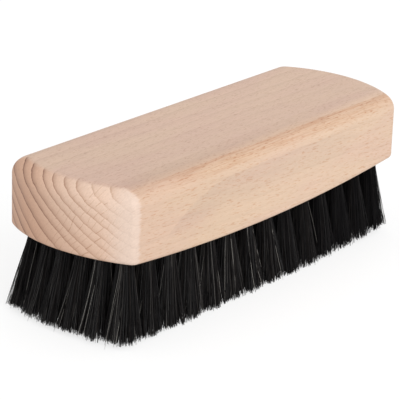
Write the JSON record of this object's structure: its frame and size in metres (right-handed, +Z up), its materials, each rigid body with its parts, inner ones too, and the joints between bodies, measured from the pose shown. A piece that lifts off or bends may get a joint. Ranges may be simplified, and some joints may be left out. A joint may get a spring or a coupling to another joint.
{
  "type": "shoe shine brush",
  "caption": "Flat wooden handle block with bowed ends, rounded top edges and a bellied underside, set with leaning tufts of black horsehair for polishing shoes.",
  "frame": {"origin": "on the floor under the middle of the block, at the height of the trimmed tips that the brush stands on", "axes": "+X along the block's length, +Y across it, +Z up from the tips through the block's flat top"},
  "size_m": [0.165, 0.0554, 0.055],
  "materials": {
    "beech": "planed and sanded smooth, unvarnished, satin",
    "horsehair": "black horsehair with a soft lustre, trimmed at the tips",
    "anchor_wire": "bright flat wire"
  },
  "bodies": {
    "root": {"block": "beech", "tuft_row_01": "horsehair", "tuft_row_02": "horsehair", "tuft_row_03": "horsehair", "tuft_row_04": "horsehair", "tuft_row_05": "horsehair", "tuft_row_06": "horsehair", "tuft_row_07": "horsehair", "tuft_row_08": "horsehair", "tuft_row_09": "horsehair", "tuft_row_10": "horsehair", "tuft_row_11": "horsehair", "tuft_row_12": "horsehair", "tuft_row_13": "horsehair", "tuft_row_14": "horsehair", "tuft_row_15": "horsehair", "tuft_row_16": "horsehair", "tuft_row_17": "horsehair", "tuft_row_18": "horsehair", "tuft_row_19": "horsehair", "tuft_row_20": "horsehair", "tuft_row_21": "horsehair", "tuft_row_22": "horsehair", "tuft_row_23": "horsehair", "tuft_row_24": "horsehair", "tuft_row_25": "horsehair", "tuft_row_26": "horsehair", "tuft_row_27": "horsehair", "tuft_row_28": "horsehair", "tuft_row_29": "horsehair", "anchors": "anchor_wire"}
  },
  "joints": []
}
